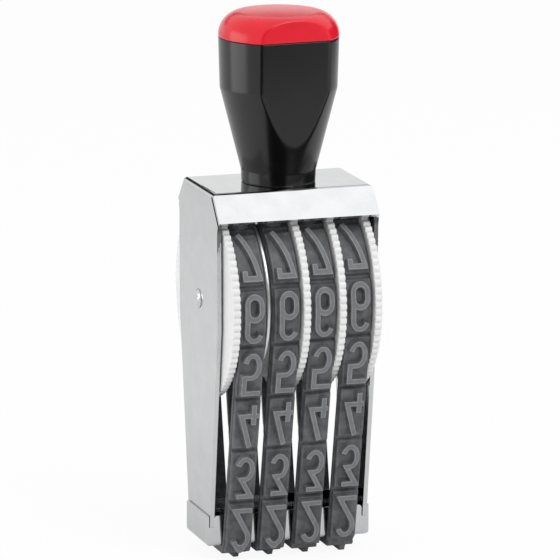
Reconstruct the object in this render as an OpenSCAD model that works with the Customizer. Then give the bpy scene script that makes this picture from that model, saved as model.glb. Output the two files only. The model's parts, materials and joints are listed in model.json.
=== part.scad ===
// Hand numbering stamp with four endless rubber number bands.
//
// A bent sheet frame stands in a pressed foot tray.  Four toothed index wheels
// turn on one axle below the top plate, and each carries an endless number band
// that hangs down round the tray, so that one character of each band lies under
// the tray and prints.  The handle is screwed to the top plate.
//
// +X runs along the axle, -Y is the front, +Z is up.  The origin lies on the
// printing face, in the middle of the foot.

/* [Number bands] */
// Width of a band's belt
band_w = 9.4; // [8.4:0.1:9.6]
// Thickness of the belt that carries the character blocks
belt_t = 1.4; // [1:0.1:2]
// Height of a character block above the belt
block_h = 1.6; // [1:0.1:2]
// How far a block's side stands in from the belt's edge
block_inset = 0.4; // [0.2:0.05:0.8]
// Relief of the characters above their block
type_h = 1.7; // [1:0.1:2]
// Height of a character
char_h = 15; // [12:0.5:15.5]
// Width of a character
char_w = 6.5; // [5:0.1:7.5]
// Width of a character's stroke at its printing face
stroke_w = 1.7; // [1.2:0.05:2]
// How much wider a stroke is at its foot, on each side
shoulder = 0.3; // [0.1:0.05:0.5]
// Width of the groove between two blocks, at its mouth
groove_w = 2; // [1.2:0.1:2.4]
// Characters on one band, blanks counted
positions = 15; // [12:1:15]
// Clearance between a band and the tray that it runs round
belt_gap = 0.1; // [0.05:0.05:0.4]

/* [Index wheels] */
// Radius of the toothed thumb rim
rim_r = 32.6; // [31.8:0.1:34]
// Width of the thumb rim
rim_w = 2.4; // [1.8:0.1:3.2]
// Teeth on the rim
rim_teeth = 84; // [60:1:120]
// Depth of the cuts between the teeth
tooth_h = 1; // [0.4:0.05:1.2]
// Radius of the drum that carries the band
drum_r = 26.9; // [25.5:0.1:27.4]
// Wall of the hollow drum
drum_wall = 2.4; // [1.5:0.1:4]
// Radius of the hub
hub_r = 7.5; // [5:0.1:9]
// Thickness of the drum's inner ribs
rib_t = 1.6; // [1:0.1:3]
// Ribs in a drum
ribs = 6; // [4:1:8]
// Room between a drum and the band on it
drum_gap = 0.3; // [0.2:0.05:0.5]
// Room between a band's edge and its rim
side_gap = 0.17; // [0.1:0.01:0.4]
// Running clearance on faces that turn against each other
face_gap = 0.05; // [0.03:0.01:0.1]
// How far a hub stands out of the open side of its drum
hub_step = 0.25; // [0.1:0.05:0.4]

/* [Axle] */
// Radius of the axle
axle_r = 2.5; // [2:0.1:4]
// Running clearance round the axle
axle_gap = 0.05; // [0.02:0.01:0.1]
// Radius of the axle's domed heads
head_r = 3.3; // [3:0.1:6]
// Height of the axle's domed heads
head_h = 1.3; // [0.8:0.1:3]
// Thickness of the washer at the left side plate
washer_l_t = 0.55; // [0.3:0.05:2]
// Thickness of the washer at the right side plate
washer_r_t = 0.7; // [0.3:0.05:2]
// Radius of the two washers
washer_r = 5.5; // [5:0.1:10]
// Radius of the divider disc
divider_r = 28.3; // [20:0.1:30]
// Thickness of the divider disc
divider_t = 1.1; // [0.6:0.1:1.4]
// Radius of the divider disc's hub
divider_hub_r = 6; // [4:0.1:10]
// Length of the divider disc's hub
divider_hub = 1.95; // [1.6:0.05:4]

/* [Frame] */
// Sheet thickness of the frame
sheet_t = 1.4; // [0.8:0.1:2]
// How far each side plate leans in from top to foot
wall_lean = 0.45; // [0:0.05:0.8]
// Height of the axle above the tray's underside
axle_h = 81.1; // [78:0.1:100]
// Height of the flat top above the wheels' rims, or the bands where they reach higher
top_h = 5; // [4.8:0.1:12.4]
// Depth of the flat top between its two bends
top_d = 31.3; // [28:0.1:34]
// Depth across the lower edges of the two hoods
hood_d = 45.7; // [44.5:0.1:50]
// Height of a hood, from the flat top to its lower edge
hood_h = 8.5; // [7:0.1:10]
// Room between a hood and the side plate's edge under it
hood_gap = 0.5; // [0.1:0.05:0.6]
// Depth of the side plates above the knee
wall_d = 41.6; // [36:0.1:43]
// Height below the hood's edge at which the plate's ears end
ear_h = 4; // [2:0.1:8]
// Height of the knee below the axle
knee_drop = 6.8; // [0:0.1:20]
// Depth of the side plates where they meet the tray
foot_d = 23.4; // [22:0.1:30]
// Outer radius of the bends between the top and the side plates
bend_r = 1.8; // [1.6:0.1:4]
// Outer radius of the bends between the top and the hoods
hood_bend_r = 2.2; // [1.8:0.1:4]
// How far a hood's ends stand in from the side plates' outer faces
hood_inset = 0.25; // [0:0.05:0.8]

/* [Foot tray] */
// Sheet thickness of the tray
tray_t = 0.8; // [0.5:0.05:1.2]
// Depth of the tray
tray_d = 22.7; // [20:0.1:26]
// Height of the tray
tray_h = 10.4; // [8:0.1:16]
// Outer radius of the tray's lower bends
tray_r = 1.5; // [1.2:0.1:2.5]
// Height of the notches in which the side plates stand
seat_h = 6.5; // [3:0.1:7]
// Radius of the corners beside the notches
notch_r = 1.2; // [0.5:0.1:2]
// Clearance between the side plates and the tray
tray_gap = 0.1; // [0.05:0.05:0.3]

/* [Handle] */
// Radius of the neck on the top plate
neck_r = 12.1; // [10:0.1:15]
// Height of the neck
neck_h = 4.2; // [2:0.1:10]
// Radius at the top of the neck
waist_r = 12.3; // [10.5:0.1:15]
// Height of the cone above the top plate
grip_h = 31.3; // [26:0.1:45]
// Radius of the grip at the top of the cone
grip_r = 19.2; // [18:0.1:23]
// Height of the handle body
handle_h = 47.9; // [44:0.1:60]
// Radius of the handle body at its top
shoulder_r = 19.7; // [19:0.1:24]
// Distance of the two flats from the handle's middle, at the top of the cone
flat_r = 15.1; // [13:0.1:18]
// How much the flats close in, in each millimetre downwards
flat_slope = 0.034; // [0:0.001:0.15]
// How far the handle is turned on its screw, in degrees
handle_turn = 3.8; // [-10:0.1:10]
// Height of the cap
cap_h = 8.6; // [8:0.1:14]
// Height of the cap's upright edge
cap_edge_h = 0.4; // [0.2:0.1:4]
// Width of the rounding round the cap's top
cap_round = 7.5; // [4:0.1:9]
// Length of the plug under the cap
plug_l = 8; // [4:0.1:14]

/* [Handle screw] */
// Radius of the screw
screw_r = 2.5; // [2:0.1:3]
// Clearance round the screw in the handle and the top plate
screw_gap = 0.25; // [0.1:0.05:0.5]
// Radius of the screw's head
screw_head_r = 4.25; // [4:0.05:5]
// Height of the screw's head
screw_head_h = 3.5; // [2:0.1:5]
// Height of the screw's seat above the top plate
seat_up = 14; // [8:0.1:20]
// Radius of the well that the screw is put in through
well_r = 5.3; // [5.2:0.05:7]
// Thickness of the washer under the screw's head
screw_washer_t = 1; // [0.5:0.1:1.6]
// Radius of that washer
screw_washer_r = 5; // [4.4:0.05:5]
// Height of the nut
nut_h = 2.7; // [2:0.1:2.9]
// Width of the nut across its flats
nut_af = 8; // [7:0.1:10]

/* [Hidden] */

// Facets of round solids, and of the arcs in the outlines
round_fn = 96;
arc_step = 6;
// Steps of the characters' curves and of the bands' lower bends, in degrees
turn_step = 20;
bend_step = 13;
// Share of the tooth pitch that the radius of a valley takes, and its facets
valley_share = 0.275;
valley_fn = 16;
// Least cosine that a stroke's mitre is worked out with
mitre_least = 0.4;
// Overlap that lets a cutting solid run past the face it cuts
cut = 1;

// Layers of a band, and the radius of its inner face on the drum
face_off = belt_t + block_h;
type_off = face_off + type_h;
path_r = drum_r + drum_gap;

// Heights
tray_z = type_h + block_h + belt_t + belt_gap;
axle_z = tray_z + axle_h;
top_z = axle_z + max(rim_r, path_r + type_off) + top_h;
hood_z = top_z - hood_h;
knee_z = axle_z - knee_drop;
seat_z = tray_z + seat_h;
grip_z = top_z + grip_h;
cap_z = top_z + handle_h;
screw_z = top_z + seat_up;

// Along the axle: the stack of washers, wheels and divider between the plates
drum_w = band_w;
wheel_w = rim_w + drum_w;
wheel_gap = hub_step + 2 * face_gap;
divider_room = divider_hub + 2 * hub_step + 2 * face_gap;
room_l = washer_l_t + 2 * face_gap;
room_r = washer_r_t + 2 * face_gap;
stack_w = room_l + 4 * wheel_w + divider_room + 2 * wheel_gap + room_r;
wall_x = stack_w / 2;

// Left end of each wheel, and the side on which its rim lies
wheel_x = [-wall_x + room_l,
           -wall_x + room_l + wheel_w + divider_room,
           -wall_x + room_l + 2 * wheel_w + divider_room + wheel_gap,
           -wall_x + room_l + 3 * wheel_w + divider_room + 2 * wheel_gap];
rim_left = [true, false, false, false];
divider_x = wheel_x[0] + wheel_w + divider_room / 2;

// The plates lean in from wall_x at the axle
lean = wall_lean / (top_z - tray_z);
function plate_x(z) = wall_x + (z - axle_z) * lean;
foot_x = plate_x(seat_z) + sheet_t;
tray_w = 2 * (foot_x + tray_gap + tray_t);

// Path of a band: round the drum, down in two straight runs and under the tray
corner_r = tray_r + belt_gap;
corner_y = tray_d / 2 - tray_r;
corner_z = tray_z + tray_r;
span = norm([corner_y, axle_z - corner_z]);
run_lean = asin((path_r - corner_r) / span) - atan(corner_y / (axle_z - corner_z));
run_l = sqrt(pow(span, 2) - pow(path_r - corner_r, 2));
// The belt neither stretches nor shortens at half its thickness
pitch_off = belt_t / 2;
corner_l = (corner_r + pitch_off) * (90 - run_lean) * PI / 180;
drum_l = (path_r + pitch_off) * (90 + run_lean) * PI / 180;
half_path = corner_y + corner_l + run_l + drum_l;
pitch = 2 * half_path / positions;
// How far the printing character of each band stands in front of the foot's middle
band_shift = [1.2, 1.5, 2, 2.9];
// Characters from the one that prints, up the front and down the back
characters = "123456789.-/, 0";

// ---------------------------------------------------------------- helpers

// Points of an elliptic arc from angle a to angle b
function arc(c, rx, ry, a, b, step = arc_step) =
    let (n = max(2, ceil(abs(b - a) / step)))
    [for (i = [0 : n]) let (t = a + (b - a) * i / n) c + [rx * cos(t), ry * sin(t)]];

// Stands a (y, z) outline on edge and extrudes it along X between two places
module along_x(x0, x1) {
    translate([x0, 0, 0]) rotate([90, 0, 90]) linear_extrude(x1 - x0) children();
}

// Extrudes an (x, z) outline along Y, centred
module along_y(d) {
    translate([0, d / 2, 0]) rotate([90, 0, 0]) linear_extrude(d) children();
}

// A cylinder along X between two places
module rod(x0, x1, r, z = axle_z) {
    translate([x0, 0, z]) rotate([0, 90, 0]) cylinder(h = x1 - x0, r = r, $fn = round_fn);
}

// A round washer on the axle
module axle_ring(x0, x1, r) {
    difference() {
        rod(x0, x1, r);
        rod(x0 - cut, x1 + cut, axle_r + axle_gap);
    }
}

// ------------------------------------------------------------------ frame

// Sloping hood: a plane from the bend of the top plate to its lower edge
hood_run = [hood_d / 2 - top_d / 2, -hood_h];
hood_n = [hood_h, hood_run[0]] / norm(hood_run);
function hood_at(t, depth) = [top_d / 2, top_z] + t * hood_run - depth * hood_n;
// Depth at which the plane "depth" below the hood crosses height z
function hood_y(z, depth) =
    let (p = hood_at(0, depth)) p[0] + (p[1] - z) * hood_run[0] / hood_h;

// Section of a hood with its bend, and the length of flat that the bend takes up
hood_fall = atan(hood_h / hood_run[0]);
bend_l = hood_bend_r * tan(hood_fall / 2);
module hood_side() {
    flat_y = top_d / 2 - hood_bend_r;
    z0 = top_z - sheet_t;
    polygon(concat([[flat_y, top_z]],
                   arc([top_d / 2 - bend_l, top_z - hood_bend_r],
                       hood_bend_r, hood_bend_r, 90, 90 - hood_fall),
                   [hood_at(1, 0), hood_at(1, sheet_t), [hood_y(z0, sheet_t), z0], [flat_y, z0]]));
}

// Half outline of a side plate, with the tab that stands in the tray
function plate_side() =
    let (under = sheet_t + hood_gap, low = hood_at(1, under), z0 = top_z - sheet_t)
    [[tray_d / 2 - tray_t - tray_gap, tray_z + tray_t + tray_gap],
     [tray_d / 2 - tray_t - tray_gap, seat_z + tray_gap],
     [foot_d / 2, seat_z + tray_gap],
     [wall_d / 2, knee_z],
     [wall_d / 2, hood_z - ear_h],
     low,
     [hood_y(z0, under), z0],
     [top_d / 2 - bend_l, z0],
     [top_d / 2 - bend_l, top_z]];

// A half outline and its mirror image as one polygon
module both_sides(half) {
    n = len(half);
    polygon(concat(half, [for (i = [n - 1 : -1 : 0]) [-half[i][0], half[i][1]]]));
}

// Cross-section of the top plate and the two leaning side plates
module channel(t, r) {
    x_top = plate_x(top_z) + sheet_t - t;
    x_low = plate_x(tray_z) + sheet_t - t;
    z_top = top_z - t;
    both_sides(concat([[x_low, t > 0 ? tray_z - cut : tray_z]],
                      arc([x_top - r, z_top - r], r, r, 0, 90)));
}

module frame() color("silver") difference() {
    union() {
        intersection() {
            along_y(hood_d) difference() {
                channel(0, bend_r);
                channel(sheet_t, bend_r - sheet_t);
            }
            along_x(-foot_x - cut, foot_x + cut) both_sides(plate_side());
        }
        for (side = [0, 1]) mirror([0, side, 0]) intersection() {
            edge_x = plate_x(hood_z) + sheet_t - hood_inset;
            along_x(-edge_x, edge_x) hood_side();
            along_y(2 * hood_d) channel(0, bend_r);
        }
    }
    rod(-foot_x - cut, foot_x + cut, axle_r + face_gap);
    translate([0, 0, top_z - sheet_t - cut])
        cylinder(h = sheet_t + 2 * cut, r = screw_r + screw_gap, $fn = round_fn);
}

// -------------------------------------------------------------- foot tray

// Section of a trough of half width w with rounded lower corners
module trough(w, z0, z1, r) {
    both_sides(concat(arc([w - r, z0 + r], r, r, 270, 360), [[w, z1]]));
}

// Notch for one side plate, with rounded corners on the plate beside it
module notch() {
    inner = plate_x(seat_z) - tray_gap;
    outer = tray_w / 2 - tray_t;
    rim = tray_z + tray_h;
    polygon(concat([[outer, rim + cut], [outer, seat_z], [inner, seat_z]],
                   arc([inner - notch_r, rim - notch_r], notch_r, notch_r, 0, 90),
                   [[inner - notch_r, rim + cut]]));
}

module foot_tray() color("gainsboro") difference() {
    intersection() {
        along_x(-tray_w / 2, tray_w / 2) trough(tray_d / 2, tray_z, tray_z + tray_h, tray_r);
        along_y(tray_d) trough(tray_w / 2, tray_z, tray_z + tray_h, tray_r);
    }
    intersection() {
        along_x(-tray_w / 2 + tray_t, tray_w / 2 - tray_t)
            trough(tray_d / 2 - tray_t, tray_z + tray_t, tray_z + tray_h + cut, tray_r - tray_t);
        along_y(tray_d)
            trough(tray_w / 2 - tray_t, tray_z + tray_t, tray_z + tray_h + cut, tray_r - tray_t);
    }
    for (side = [0, 1]) mirror([side, 0, 0]) along_y(tray_d + 2 * cut) notch();
}

// ----------------------------------------------------------------- handle

// Cuts away what lies outside the two flats, which lean back from low_z to high_z
module outside_flats(low_z, high_z) {
    for (a = [0, 180]) rotate([0, 0, a]) along_x(-shoulder_r - cut, shoulder_r + cut)
        polygon([[flat_at(low_z), low_z], [flat_at(high_z), high_z],
                 [shoulder_r + cut, high_z], [shoulder_r + cut, low_z]]);
}

function flat_at(z) = flat_r + (z - grip_z) * flat_slope;

module handle_body() color([0.16, 0.16, 0.17]) rotate([0, 0, handle_turn]) difference() {
    rotate_extrude($fn = round_fn)
        polygon([[0, top_z], [neck_r, top_z], [waist_r, top_z + neck_h],
                 [grip_r, grip_z], [shoulder_r, cap_z], [0, cap_z]]);
    outside_flats(top_z + neck_h, cap_z + cut);
    translate([0, 0, top_z - cut])
        cylinder(h = seat_up + 2 * cut, r = screw_r + screw_gap, $fn = round_fn);
    translate([0, 0, screw_z])
        cylinder(h = handle_h - seat_up + cut, r = well_r, $fn = round_fn);
}

module handle_cap() color([0.82, 0.12, 0.14]) rotate([0, 0, handle_turn]) {
    difference() {
        rotate_extrude($fn = round_fn)
            polygon(concat([[0, cap_z], [shoulder_r, cap_z]],
                           arc([shoulder_r - cap_round, cap_z + cap_edge_h],
                               cap_round, cap_h - cap_edge_h, 0, 90),
                           [[0, cap_z + cap_h]]));
        outside_flats(cap_z - cut, cap_z + cap_h + cut);
    }
    plug_r = well_r - screw_gap;
    translate([0, 0, cap_z - plug_l]) cylinder(h = plug_l + cut, r = plug_r, $fn = round_fn);
}

module handle_screw() color("dimgray") {
    low_z = top_z - sheet_t - nut_h;
    head_z = screw_z + screw_washer_t;
    translate([0, 0, low_z]) cylinder(h = head_z - low_z, r = screw_r, $fn = round_fn);
    difference() {
        translate([0, 0, head_z])
            cylinder(h = screw_head_h, r = screw_head_r, $fn = round_fn);
        translate([0, 0, head_z + screw_head_h / 2])
            cylinder(h = screw_head_h, r = screw_r * 0.92, $fn = 6);
    }
}

module handle_washer() color("lightgray") translate([0, 0, screw_z]) difference() {
    cylinder(h = screw_washer_t, r = screw_washer_r, $fn = round_fn);
    translate([0, 0, -cut])
        cylinder(h = screw_washer_t + 2 * cut, r = screw_r + screw_gap, $fn = round_fn);
}

module handle_nut() color("lightgray") translate([0, 0, top_z - sheet_t - nut_h]) difference() {
    cylinder(h = nut_h, r = nut_af / 2 / cos(30), $fn = 6);
    translate([0, 0, -cut]) cylinder(h = nut_h + 2 * cut, r = screw_r + face_gap, $fn = round_fn);
}

// ------------------------------------------------------- axle and its rings

// Domed head of the axle, its flat face at z = 0
module dome() {
    ball_r = (pow(head_r, 2) + pow(head_h, 2)) / (2 * head_h);
    rise = asin(head_r / ball_r);
    rotate_extrude($fn = round_fn)
        polygon(concat([[0, 0]],
                       [for (i = [0 : 8]) let (t = rise * (1 - i / 8))
                           [ball_r * sin(t), ball_r * cos(t) - ball_r + head_h]]));
}

module axle() color("silver") {
    end_x = wall_x + sheet_t + face_gap;
    rod(-end_x - head_h / 4, end_x + head_h / 4, axle_r);
    for (side = [0, 1]) mirror([side, 0, 0])
        translate([end_x, 0, axle_z]) rotate([0, 90, 0]) dome();
}

module washer_left() color("lightgray")
    axle_ring(-wall_x + face_gap, -wall_x + face_gap + washer_l_t, washer_r);

module washer_right() color("lightgray")
    axle_ring(wall_x - face_gap - washer_r_t, wall_x - face_gap, washer_r);

module divider_disc() color("lightgray") difference() {
    union() {
        rod(divider_x - divider_t / 2, divider_x + divider_t / 2, divider_r);
        rod(divider_x - divider_hub / 2, divider_x + divider_hub / 2, divider_hub_r);
    }
    rod(divider_x - divider_hub, divider_x + divider_hub, axle_r + axle_gap);
}

// ----------------------------------------------------------- index wheels

// Toothed thumb rim, flat
module rim_outline() {
    tooth_pitch = 360 / rim_teeth;
    cut_r = valley_share * 2 * rim_r * PI / rim_teeth;
    difference() {
        circle(r = rim_r, $fn = 2 * rim_teeth);
        for (i = [0 : rim_teeth - 1]) rotate(tooth_pitch * i)
            translate([rim_r - tooth_h + cut_r, 0]) circle(r = cut_r, $fn = valley_fn);
    }
}

// A wheel with its rim at z = 0 and its open drum upwards
module wheel_form() difference() {
    union() {
        linear_extrude(rim_w) rim_outline();
        cylinder(h = wheel_w, r = drum_r, $fn = round_fn);
        cylinder(h = wheel_w + hub_step, r = hub_r, $fn = round_fn);
    }
    difference() {
        translate([0, 0, rim_w])
            cylinder(h = drum_w + cut, r = drum_r - drum_wall, $fn = round_fn);
        cylinder(h = wheel_w + hub_step, r = hub_r, $fn = round_fn);
        for (i = [0 : ribs - 1]) rotate(360 / ribs * i)
            translate([0, -rib_t / 2, 0]) cube([drum_r, rib_t, wheel_w - rib_t / 2]);
    }
    translate([0, 0, -cut])
        cylinder(h = wheel_w + hub_step + 2 * cut, r = axle_r + axle_gap, $fn = round_fn);
}

module wheel(i) color("white") translate([wheel_x[i] + (rim_left[i] ? 0 : wheel_w), 0, axle_z])
    rotate([0, rim_left[i] ? 90 : -90, 0]) wheel_form();

module wheel_1() wheel(0);
module wheel_2() wheel(1);
module wheel_3() wheel(2);
module wheel_4() wheel(3);

// ------------------------------------------------------------ characters

// Half extents of a character's centre line
char_x = (char_w - stroke_w) / 2;
char_y = (char_h - stroke_w) / 2;

// Side point of a stroke at point i of its centre line, mitred at corners
function side_of(pts, i, w) =
    let (n = len(pts),
         before = pts[i] - pts[max(i - 1, 0)],
         after = pts[min(i + 1, n - 1)] - pts[i],
         u = i == 0 ? after / norm(after) : before / norm(before),
         v = i == n - 1 ? u : after / norm(after),
         m = (u + v) / norm(u + v),
         reach = w / 2 / max(mitre_least, m * u))
    pts[i] + reach * [-m[1], m[0]];

// A stroke of width w along a centre line
module stroke(pts, w) {
    n = len(pts);
    polygon(concat([for (i = [0 : n - 1]) side_of(pts, i, w)],
                   [for (i = [n - 1 : -1 : 0]) 2 * pts[i] - side_of(pts, i, w)]));
}

// A closed oval stroke of half extents x and y round a centre
module oval(c, x, y, w) difference() {
    polygon(oval_points(c, x + w / 2, y + w / 2));
    polygon(oval_points(c, x - w / 2, y - w / 2));
}

// Straight-sided oval: half circles above and below
function oval_points(c, x, y) =
    concat(arc(c + [0, y - x], x, x, 0, 180, turn_step),
           arc(c - [0, y - x], x, x, 180, 360, turn_step));

module zero(w) oval([0, 0], char_x, char_y, w);

module one(w) {
    stem_x = char_w * 0.12;
    stroke([[stem_x, char_y + stroke_w / 2], [stem_x, -char_y - stroke_w / 2]], w);
    stroke([[stem_x, char_y], [-char_x * 0.75, char_y - char_x * 0.9]], w);
}

// Points of a bowed line from a to b that leans towards c
function bow(a, c, b) =
    [for (i = [0 : 5]) let (t = i / 5) pow(1 - t, 2) * a + 2 * t * (1 - t) * c + t * t * b];

module two(w) {
    bowl_y = char_h * 0.22;
    stroke(concat(arc([0, char_y - bowl_y], char_x, bowl_y, 160, -35, turn_step),
                  [[-char_x, -char_y], [char_x + stroke_w / 2, -char_y]]), w);
}

module three(w) {
    bowl_y = char_h * 0.24;
    waist_y = 2 * bowl_y - char_y;
    stroke(concat([[-char_x, char_y], [char_x * 0.95, char_y], [-char_x * 0.45, waist_y]],
                  arc([0, waist_y - bowl_y], char_x, bowl_y, 95, -160, turn_step)), w);
}

module four(w) {
    bar_y = -char_h * 0.245;
    stem_x = char_x * 0.72;
    stroke([[char_x * 0.3, char_y + stroke_w / 2], [-char_x, bar_y],
            [char_x + stroke_w / 2, bar_y]], w);
    stroke([[stem_x, -char_h * 0.03], [stem_x, -char_y - stroke_w / 2]], w);
}

module five(w) {
    bowl_y = char_h * 0.26;
    waist_y = 2 * bowl_y - char_y;
    stroke(concat([[char_x + stroke_w / 2, char_y], [-char_x, char_y], [-char_x, waist_y]],
                  arc([0, waist_y - bowl_y], char_x, bowl_y, 90, -160, turn_step)), w);
}

module six(w) {
    bowl_y = char_h * 0.223;
    hook_y = char_h * 0.2;
    oval([0, bowl_y - char_y], char_x, bowl_y, w);
    stroke(concat([[-char_x, bowl_y - char_y]],
                  arc([0, char_y - hook_y], char_x, hook_y, 180, 20, turn_step)), w);
}

module seven(w) {
    stroke(concat(bow([-char_x, -char_y - stroke_w / 2], [char_x * 0.55, -char_h * 0.04], [char_x, char_y]),
                  [[-char_x, char_y], [-char_x, char_y - stroke_w * 1.4]]), w);
}

module eight(w) {
    low_y = char_h * 0.245;
    high_y = char_y - low_y;
    oval([0, low_y - char_y], char_x, low_y, w);
    oval([0, char_y - high_y], char_x * 0.9, high_y, w);
}

module nine(w) rotate(180) six(w);

module dot(w) stroke([[0, -char_y - stroke_w / 2], [0, -char_y + stroke_w]], w * 1.3);

module comma(w) stroke([[char_x / 8, -char_y + stroke_w], [-char_x / 5, -char_y - stroke_w]], w);

module dash(w) stroke([[-char_x, 0], [char_x, 0]], w);

module slash(w) stroke([[-char_x, -char_y], [char_x, char_y]], w);

// The character c, as it prints, with strokes of width w
module character(c, w) {
    if (c == "0") zero(w);
    if (c == "1") one(w);
    if (c == "2") two(w);
    if (c == "3") three(w);
    if (c == "4") four(w);
    if (c == "5") five(w);
    if (c == "6") six(w);
    if (c == "7") seven(w);
    if (c == "8") eight(w);
    if (c == "9") nine(w);
    if (c == ".") dot(w);
    if (c == ",") comma(w);
    if (c == "-") dash(w);
    if (c == "/") slash(w);
}

// ----------------------------------------------------------- number bands

// Outline of the band's path, "off" outside the belt's inner face
function path_outline(off) =
    concat(arc([0, axle_z], path_r + off, path_r + off, -run_lean, 180 + run_lean),
           arc([-corner_y, corner_z], corner_r + off, corner_r + off, 180 + run_lean, 270, bend_step),
           arc([corner_y, corner_z], corner_r + off, corner_r + off, 270, 360 - run_lean, bend_step));

// A layer of the band between two heights, inset from the belt's edges
module layer(x0, off0, off1, inset) {
    along_x(x0 + inset, x0 + band_w - inset) difference() {
        polygon(path_outline(off1));
        polygon(path_outline(off0));
    }
}

// Place on the path at distance s behind the middle of the foot, and the angle
// of the outward normal there: [y, z, angle].  s runs up the back.
function path_at(s) =
    s < 0 ? let (p = path_at(-s)) [-p[0], p[1], 180 - p[2]]
    : s < corner_y ? [s, corner_z - corner_r, 270]
    : s < corner_y + corner_l
    ? let (a = 270 + (s - corner_y) / (corner_r + pitch_off) * 180 / PI)
        [corner_y + corner_r * cos(a), corner_z + corner_r * sin(a), a]
    : s < corner_y + corner_l + run_l
    ? let (t = s - corner_y - corner_l)
        [corner_y + corner_r * cos(run_lean) + t * sin(run_lean),
         corner_z - corner_r * sin(run_lean) + t * cos(run_lean), -run_lean]
    : let (a = -run_lean + (s - half_path + drum_l) / (path_r + pitch_off) * 180 / PI)
        [path_r * cos(a), axle_z + path_r * sin(a), a];

// Stands its children on the belt at s: their +Z points outwards, +Y along s
module on_path(x, s) {
    p = path_at(s > half_path ? s - 2 * half_path : s < -half_path ? s + 2 * half_path : s);
    translate([x, p[0], p[1]]) rotate([p[2] + 90, 0, 0]) rotate([0, 180, 0]) children();
}

// Groove across the band between two blocks
module groove() {
    depth = block_h + belt_t / 4;
    rotate([0, 90, 0]) translate([0, 0, -band_w])
        linear_extrude(2 * band_w)
            polygon([[-type_off, groove_w], [-face_off, groove_w / 2], [depth - face_off, groove_w / 4],
                     [depth - face_off, -groove_w / 4], [-face_off, -groove_w / 2],
                     [-type_off, -groove_w]]);
}

// All the characters of a band as strokes of width w, pushed out from the belt
module strokes(x, shift, w) {
    for (i = [0 : positions - 1]) on_path(x, -shift - i * pitch)
        linear_extrude(type_off + cut) mirror([1, 0]) character(characters[i], w);
}

module band(i) color([0.42, 0.43, 0.44]) {
    x0 = rim_left[i] ? wheel_x[i] + rim_w + side_gap
                     : wheel_x[i] + wheel_w - rim_w - side_gap - band_w;
    mid = x0 + band_w / 2;
    shift = band_shift[i];
    difference() {
        union() {
            layer(x0, 0, belt_t, 0);
            layer(x0, belt_t / 2, face_off, block_inset);
        }
        for (i = [0 : positions - 1]) on_path(mid, -shift - (i + 0.5) * pitch) groove();
    }
    intersection() {
        layer(x0, face_off - belt_t / 2, face_off + type_h / 2, block_inset);
        strokes(mid, shift, stroke_w + 2 * shoulder);
    }
    intersection() {
        layer(x0, face_off - belt_t / 2, type_off, block_inset);
        strokes(mid, shift, stroke_w);
    }
}

module band_1() band(0);
module band_2() band(1);
module band_3() band(2);
module band_4() band(3);

// ----------------------------------------------------------------- drawing

frame();
foot_tray();
handle_body();
handle_cap();
handle_screw();
handle_washer();
handle_nut();
axle();
washer_left();
washer_right();
divider_disc();
wheel_1();
wheel_2();
wheel_3();
wheel_4();
band_1();
band_2();
band_3();
band_4();
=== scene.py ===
"""A hand numbering stamp with four rubber number bands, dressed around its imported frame.

Every sub-assembly is a class: it holds its sizes in millimetres, builds its meshes in
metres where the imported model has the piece, and gives each mesh its finish.
"""

import json
import logging
import math
from dataclasses import dataclass, field
from enum import Enum
from typing import Any, Callable, Sequence

import bmesh
import bpy
import numpy as np
from mathutils import Matrix, Vector

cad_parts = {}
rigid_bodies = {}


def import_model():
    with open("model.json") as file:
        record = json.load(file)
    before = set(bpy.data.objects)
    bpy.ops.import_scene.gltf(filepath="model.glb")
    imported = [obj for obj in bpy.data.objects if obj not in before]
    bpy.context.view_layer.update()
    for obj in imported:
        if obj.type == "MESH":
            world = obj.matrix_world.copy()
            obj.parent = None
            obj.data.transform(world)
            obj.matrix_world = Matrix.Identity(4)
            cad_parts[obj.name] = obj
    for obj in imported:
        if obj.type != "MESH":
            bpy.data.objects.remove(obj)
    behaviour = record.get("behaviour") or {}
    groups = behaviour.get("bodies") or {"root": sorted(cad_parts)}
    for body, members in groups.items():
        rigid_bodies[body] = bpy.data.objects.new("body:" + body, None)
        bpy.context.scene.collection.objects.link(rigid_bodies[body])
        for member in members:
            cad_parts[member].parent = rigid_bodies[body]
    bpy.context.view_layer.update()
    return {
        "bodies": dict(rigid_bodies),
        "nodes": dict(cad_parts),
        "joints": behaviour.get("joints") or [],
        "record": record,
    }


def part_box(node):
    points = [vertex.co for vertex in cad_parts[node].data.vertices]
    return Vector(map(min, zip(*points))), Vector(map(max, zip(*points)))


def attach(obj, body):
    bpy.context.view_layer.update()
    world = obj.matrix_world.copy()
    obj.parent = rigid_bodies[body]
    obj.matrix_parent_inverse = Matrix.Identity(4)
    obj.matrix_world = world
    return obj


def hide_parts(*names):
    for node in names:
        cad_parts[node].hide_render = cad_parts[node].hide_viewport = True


LOG = logging.getLogger("numbering_stamp")
MM = 0.001
STAMP_BODY = "stamp"
# A distance beyond any figure, in millimetres: what a blank position gives.
FAR = 1e3
# How far each band's printing figure lies in front of the foot's middle, in millimetres,
# band_1 first.
BAND_SHIFTS = (1.2, 1.5, 2.0, 2.9)

Point = tuple[float, float]
Colour = tuple[float, float, float, float]


# ---------------------------------------------------------------- colours and nodes


def linear(hex_code: str) -> Colour:
    """Turns an sRGB hex colour to linear.

    Args:
        hex_code: The colour, such as "#C4C5C7".

    Returns:
        Linear red, green and blue, with an alpha of 1.
    """
    parts = [int(hex_code[i:i + 2], 16) / 255 for i in (1, 3, 5)]
    light = [p / 12.92 if p <= 0.04045 else ((p + 0.055) / 1.055) ** 2.4 for p in parts]
    return (light[0], light[1], light[2], 1.0)


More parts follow.
